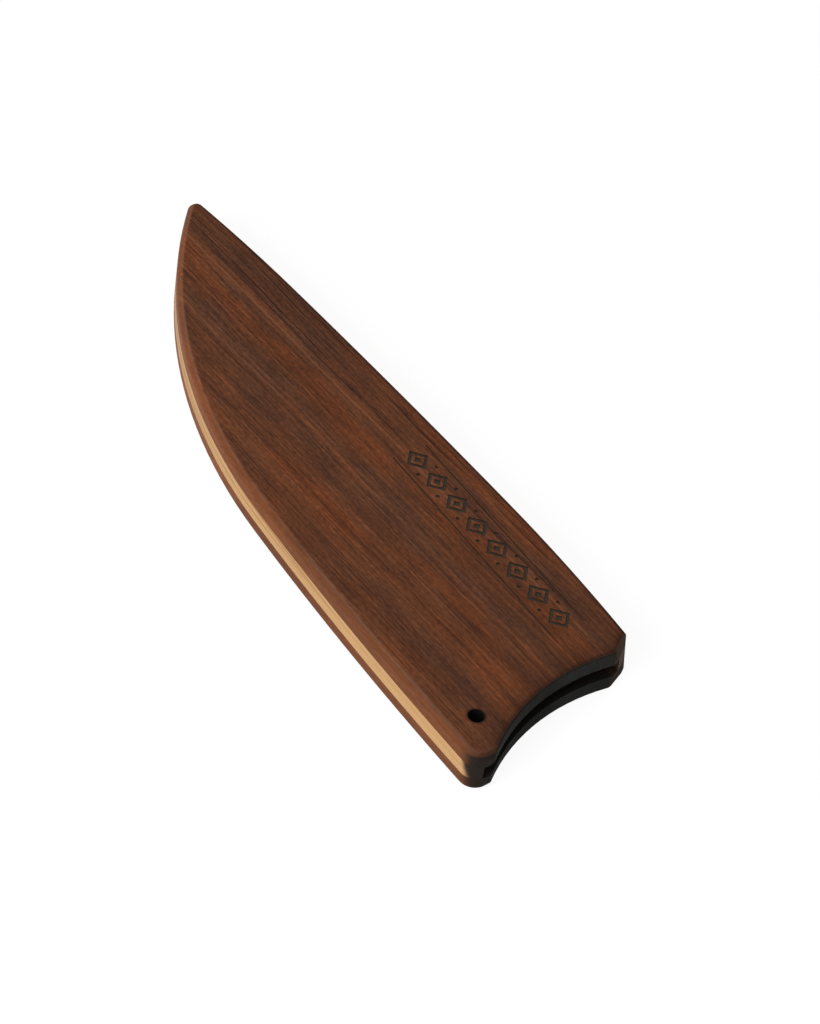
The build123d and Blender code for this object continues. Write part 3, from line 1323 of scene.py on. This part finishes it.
@dataclass
class FrontBoard(Assembly):
    """The dark front board, with the engraved border cut into its outer face."""

    wood: DarkWood = field(default_factory=DarkWood)
    band: EngravedBand = field(default_factory=EngravedBand)
    seed: float = 3.0
    shading: BoardShading = field(default_factory=BoardShading)
    weld: float = 0.002 * MM

    def blank(self) -> bpy.types.Mesh:
        """Copies the board's own mesh and welds it.

        Returns:
            The welded copy.
        """
        node = frame["nodes"][BoardNode.FRONT.value]
        shape = bmesh.new()
        shape.from_mesh(node.data)
        bmesh.ops.remove_doubles(shape, verts=shape.verts, dist=self.weld)
        open_edges = sum(1 for edge in shape.edges if len(edge.link_faces) != 2)
        log.info("front board: %d vertices, %d open edges", len(shape.verts), open_edges)
        mesh = bpy.data.meshes.new("front_board_blank")
        shape.to_mesh(mesh)
        shape.free()
        return mesh

    def build(self) -> list[bpy.types.Object]:
        """Builds and dresses the board.

        Returns:
            The piece that stands for the front panel.
        """
        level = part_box(BoardNode.FRONT.value)[1].z
        board = bpy.data.objects.new("front_board_engraved", self.blank())
        tool = bpy.data.objects.new("band_cutter", self.band.cutter(level))
        for thing in (board, tool):
            bpy.context.scene.collection.objects.link(thing)
        cut = board.modifiers.new("cut", "BOOLEAN")
        cut.object = tool
        cut.operation = "DIFFERENCE"
        cut.solver = "EXACT"
        cut_mesh = settle(board)
        bpy.data.objects.remove(tool)
        cut_mesh.materials.clear()
        cut_mesh.materials.append(self.wood.make("dark_wood_front", self.seed))
        cut_mesh.materials.append(BurntLine().make("burnt_line"))
        for face in cut_mesh.polygons:
            face.material_index = int(self.band.holds(face.center, level))
        self.shading.lay_on(board.data)
        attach(board, ROOT_BODY)
        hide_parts(BoardNode.FRONT.value)
        return [board]


@dataclass
class PlainBoards(Assembly):
    """The back board and the pale core, which keep their own meshes."""

    dark: DarkWood = field(default_factory=DarkWood)
    pale: PaleWood = field(default_factory=PaleWood)
    back_seed: float = 11.0
    core_seed: float = 5.0

    def build(self) -> list[bpy.types.Object]:
        """Dresses the two boards.

        Returns:
            The boards.
        """
        back = dress(BoardNode.BACK.value, self.dark.make("dark_wood_back", self.back_seed))
        core = dress(BoardNode.CORE.value, self.pale.make("pale_wood_core", self.core_seed))
        return [back, core]


@dataclass
class Magnets(Assembly):
    """The disc magnets that are let into the inner faces of both panels."""

    finish: NickelPlate = field(default_factory=NickelPlate)
    key: str = "_magnet_"

    def build(self) -> list[bpy.types.Object]:
        """Dresses every magnet, and returns them."""
        plating = self.finish.make("nickel_plate")
        return [dress(name, plating) for name in sorted(frame["nodes"]) if self.key in name]


def dress(node: str, material: bpy.types.Material) -> bpy.types.Object:
    """Gives a node of the frame its finish.

    Args:
        node: The node's name.
        material: The finish.

    Returns:
        The node's own object.
    """
    piece = frame["nodes"][node]
    piece.data.materials.clear()
    piece.data.materials.append(material)
    return piece


def settle(piece: bpy.types.Object) -> bpy.types.Mesh:
    """Turns a piece's modifiers into its mesh.

    Args:
        piece: The piece, which is in the scene.

    Returns:
        Its new mesh.
    """
    bpy.context.view_layer.update()
    shown = piece.evaluated_get(bpy.context.evaluated_depsgraph_get())
    mesh = bpy.data.meshes.new_from_object(shown)
    piece.modifiers.clear()
    piece.data = mesh
    return mesh


def direction(heading: float, height: float) -> Vector:
    """Returns the unit vector at a heading, turned from X towards Y, and a height over the table."""
    flat = math.cos(height)
    return Vector((flat * math.cos(heading), flat * math.sin(heading), math.sin(height)))


@dataclass
class Studio(Assembly):
    """A white floor, a soft lamp low on the cutting edge's side, and an even sky."""

    floor_radius: float = 3.0
    floor_sides: int = 96
    floor_colour: Colour = (0.86, 0.86, 0.86)
    floor_glow: float = 0.82
    glow_strength: float = 1.1
    sky_level: float = 0.45
    lamp_heading: float = math.radians(280)
    lamp_height: float = math.radians(30)
    lamp_distance: float = 0.95
    lamp_size: float = 0.55
    lamp_power: float = 8.0

    def build(self) -> list[bpy.types.Object]:
        """Builds the floor, the lamp and the sky.

        Returns:
            The floor and the lamp.
        """
        things = [self.lay_floor(), self.hang_lamp()]
        self.paint_sky()
        return things

    def seen_directly(self, recipe: Recipe) -> Wire:
        """Tells what is seen from what only lights the room.

        Args:
            recipe: The floor's or the sky's tree.

        Returns:
            1 for rays from the eye, a reflection or a clear thing, and 0 for the room's light.
        """
        path = recipe.add("ShaderNodeLightPath")
        names = ("Is Camera Ray", "Is Glossy Ray", "Is Transmission Ray")
        camera, glossy, through = (Wire(recipe, path.outputs[name]) for name in names)
        return camera.most(glossy).most(through)

    def lay_floor(self) -> bpy.types.Object:
        """Lays the round floor under the part.

        Returns:
            The floor.
        """
        shape = bmesh.new()
        bmesh.ops.create_circle(shape, cap_ends=True, segments=self.floor_sides, radius=self.floor_radius)
        mesh = bpy.data.meshes.new("floor")
        shape.to_mesh(mesh)
        shape.free()
        floor = bpy.data.objects.new("floor", mesh)
        bpy.context.scene.collection.objects.link(floor)
        material = bpy.data.materials.new("floor_white")
        recipe = Recipe(material)
        matt = recipe.add("ShaderNodeBsdfDiffuse", sockets={"Color": self.floor_colour})
        glow = recipe.add("ShaderNodeEmission", sockets={"Color": WHITE, "Strength": self.glow_strength})
        sockets = {
            0: self.seen_directly(recipe) * self.floor_glow,
            1: Wire(recipe, matt.outputs[0]),
            2: Wire(recipe, glow.outputs[0]),
        }
        recipe.surface(recipe.add("ShaderNodeMixShader", sockets=sockets))
        mesh.materials.append(material)
        return floor

    def hang_lamp(self) -> bpy.types.Object:
        """Hangs the soft lamp, which points at the part.

        Returns:
            The lamp.
        """
        light = bpy.data.lights.new("softbox", "AREA")
        light.shape = "SQUARE"
        light.size = self.lamp_size
        light.energy = self.lamp_power
        lamp = bpy.data.objects.new("softbox", light)
        away = direction(self.lamp_heading, self.lamp_height)
        turned = away.to_track_quat("Z", "Y").to_matrix().to_4x4()
        lamp.matrix_world = Matrix.Translation(away * self.lamp_distance) @ turned
        bpy.context.scene.collection.objects.link(lamp)
        return lamp

    def paint_sky(self) -> None:
        """Paints a white sky that lights the part less than it shows."""
        world = bpy.data.worlds.new("sky")
        bpy.context.scene.world = world
        recipe = Recipe(world)
        strength = self.seen_directly(recipe) * (1 - self.sky_level) + self.sky_level
        recipe.surface(recipe.add("ShaderNodeBackground", sockets={"Color": WHITE, "Strength": strength}))


@dataclass
class PhotoCamera(Assembly):
    """The camera of the photograph, above the mouth's side of the cutting edge and turned about its view."""

    aim: tuple[float, float, float] = (19.08 * MM, 16.18 * MM, 0.0)
    heading: float = math.radians(-44.91)
    height: float = math.radians(44.42)
    roll: float = math.radians(10.69)
    distance: float = 848.1 * MM
    focal_pixels: float = 3000.0
    image_height: float = 1024.0
    sensor_height: float = 36.0
    near_share: float = 0.01

    def build(self) -> list[bpy.types.Object]:
        """Builds the camera and makes it the scene's own.

        Returns:
            The camera.
        """
        lens = bpy.data.cameras.new("photo_camera")
        lens.sensor_fit = "VERTICAL"
        lens.sensor_height = self.sensor_height
        lens.lens = self.focal_pixels / self.image_height * self.sensor_height
        lens.clip_start = self.distance * self.near_share
        camera = bpy.data.objects.new("photo_camera", lens)
        back = direction(self.heading, self.height)
        right = Vector((-math.sin(self.heading), math.cos(self.heading), 0.0))
        level = Matrix((right, back.cross(right), back)).transposed()
        turned = level @ Matrix.Rotation(self.roll, 3, "Z")
        camera.matrix_world = Matrix.Translation(Vector(self.aim) + back * self.distance) @ turned.to_4x4()
        bpy.context.scene.collection.objects.link(camera)
        bpy.context.scene.camera = camera
        return [camera]


def main() -> None:
    """Builds every piece in order, then the studio and the camera, and reports each of them."""
    logging.basicConfig(level=logging.INFO, format="%(message)s")
    for assembly in (FrontBoard(), PlainBoards(), Magnets(), Studio(), PhotoCamera()):
        for piece in assembly.build():
            finishes = ", ".join(slot.name for slot in piece.material_slots)
            log.info("%s: %s", piece.name, finishes or piece.type.lower())
    bpy.context.scene.view_settings.view_transform = "Standard"


if __name__ == "__main__":
    main()
